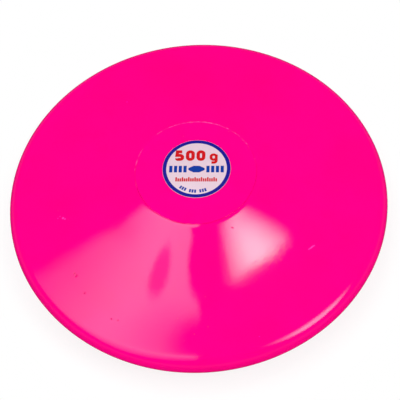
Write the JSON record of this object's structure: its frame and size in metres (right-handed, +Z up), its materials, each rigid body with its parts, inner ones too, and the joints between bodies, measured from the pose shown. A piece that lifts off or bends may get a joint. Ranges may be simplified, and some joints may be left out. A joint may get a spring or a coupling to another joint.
{
  "type": "discus",
  "caption": "Soft training discus: two thin shells welded round a foam core, a ballast ring and a hub, with snap-in centre discs and a round label.",
  "frame": {"origin": "centre of the lower centre disc's face, which the discus lies on", "axes": "+Z up along the spin axis, out of the face that carries the label; the label reads upright with +Y at its top"},
  "size_m": [0.18, 0.18, 0.0373],
  "materials": {
    "shell": "gloss",
    "centre_disc": "gloss",
    "label": "satin",
    "print_blue": "satin",
    "print_red": "satin",
    "hub": "satin",
    "ballast": "matte",
    "foam": "matte"
  },
  "bodies": {
    "root": {"upper_shell": "shell", "lower_shell": "shell", "upper_centre_disc": "centre_disc", "lower_centre_disc": "centre_disc", "label": "label", "hub_spool": "hub", "ballast_ring": "ballast", "upper_foam_core": "foam", "lower_foam_core": "foam"}
  },
  "joints": []
}
